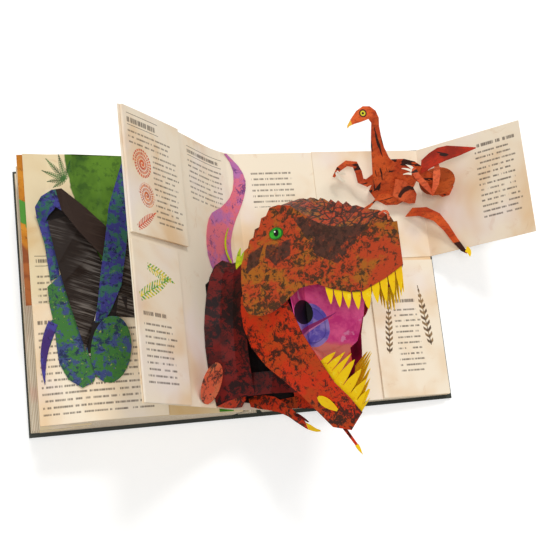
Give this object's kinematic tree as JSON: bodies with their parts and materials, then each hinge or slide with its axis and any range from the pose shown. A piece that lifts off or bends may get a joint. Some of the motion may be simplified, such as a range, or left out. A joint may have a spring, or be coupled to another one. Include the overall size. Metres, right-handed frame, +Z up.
{
  "type": "pop up book",
  "caption": "Open hardback pop-up book with a leaf half turned; a gaping predator head rises from the spread beside a fold-out runner and a folded long-neck.",
  "frame": {"origin": "on the table under the middle of the spine board", "axes": "+X towards the back cover's fore edge, +Y towards the heads of the pages, +Z up"},
  "size_m": [0.4987, 0.3307, 0.232],
  "materials": {
    "cover_cloth": "printed, satin",
    "page_paper": "matt print",
    "predator_skin": "matt print",
    "predator_dark": "matt print",
    "teeth_and_claws": "matt print",
    "mouth_print": "matt print",
    "tail_print": "matt print",
    "eye_print": "matt print",
    "runner_skin": "matt print",
    "long_neck_skin": "matt print",
    "long_neck_inner": "matt print"
  },
  "bodies": {
    "spine": {"spine_board": "cover_cloth", "page_folds": "page_paper"},
    "front_half": {"front_cover": "cover_cloth", "left_pages": "page_paper", "caption_booklet": "page_paper", "long_neck_tail": "long_neck_skin", "long_neck_band": "long_neck_skin", "long_neck_strap": "long_neck_inner", "long_neck_inside": "long_neck_inner", "long_neck_foreleg": "long_neck_skin", "long_neck_blade": "long_neck_skin", "long_neck_trunk": "long_neck_inner", "long_neck_hind_leg": "long_neck_skin"},
    "back_half": {"back_cover": "cover_cloth", "turning_leaf_spread": "page_paper", "right_pages": "page_paper", "leaf_upper_booklet": "page_paper", "leaf_lower_booklet": "page_paper", "lower_right_booklet": "page_paper", "fold_out_panel": "page_paper", "head_sides": "predator_skin", "head_crest": "predator_skin", "upper_teeth": "teeth_and_claws", "lower_jaw": "predator_skin", "mouth_lining": "mouth_print", "tongue": "mouth_print", "lower_teeth": "teeth_and_claws", "thumb_claw": "teeth_and_claws", "left_eye": "eye_print", "right_eye": "eye_print", "body_base": "predator_dark", "left_flank": "predator_dark", "right_flank": "predator_dark", "left_neck": "predator_dark", "right_neck": "predator_dark", "chest": "predator_dark", "left_knee": "predator_skin", "left_thigh": "predator_skin", "right_thigh": "predator_skin", "left_arm": "predator_skin", "left_hand_claw": "teeth_and_claws", "right_arm": "predator_skin", "right_hand_claw": "teeth_and_claws", "tail": "tail_print", "runner_body": "runner_skin", "runner_neck": "runner_skin", "runner_left_arm": "runner_skin", "runner_tail": "runner_skin", "runner_right_thigh": "runner_skin", "runner_left_thigh": "runner_skin", "runner_left_leg": "runner_skin", "runner_right_leg": "runner_skin", "runner_right_arm": "runner_skin"}
  },
  "joints": [
    {"name": "front_cover_hinge", "type": "hinge", "parent": "spine", "child": "front_half", "pos_m": [-0.0141, 0, 0.003], "axis": [0, 1, 0], "range_deg": [0, 12]},
    {"name": "back_cover_hinge", "type": "hinge", "parent": "spine", "child": "back_half", "pos_m": [0.0141, 0, 0.003], "axis": [0, -1, 0], "range_deg": [0, 10]}
  ]
}
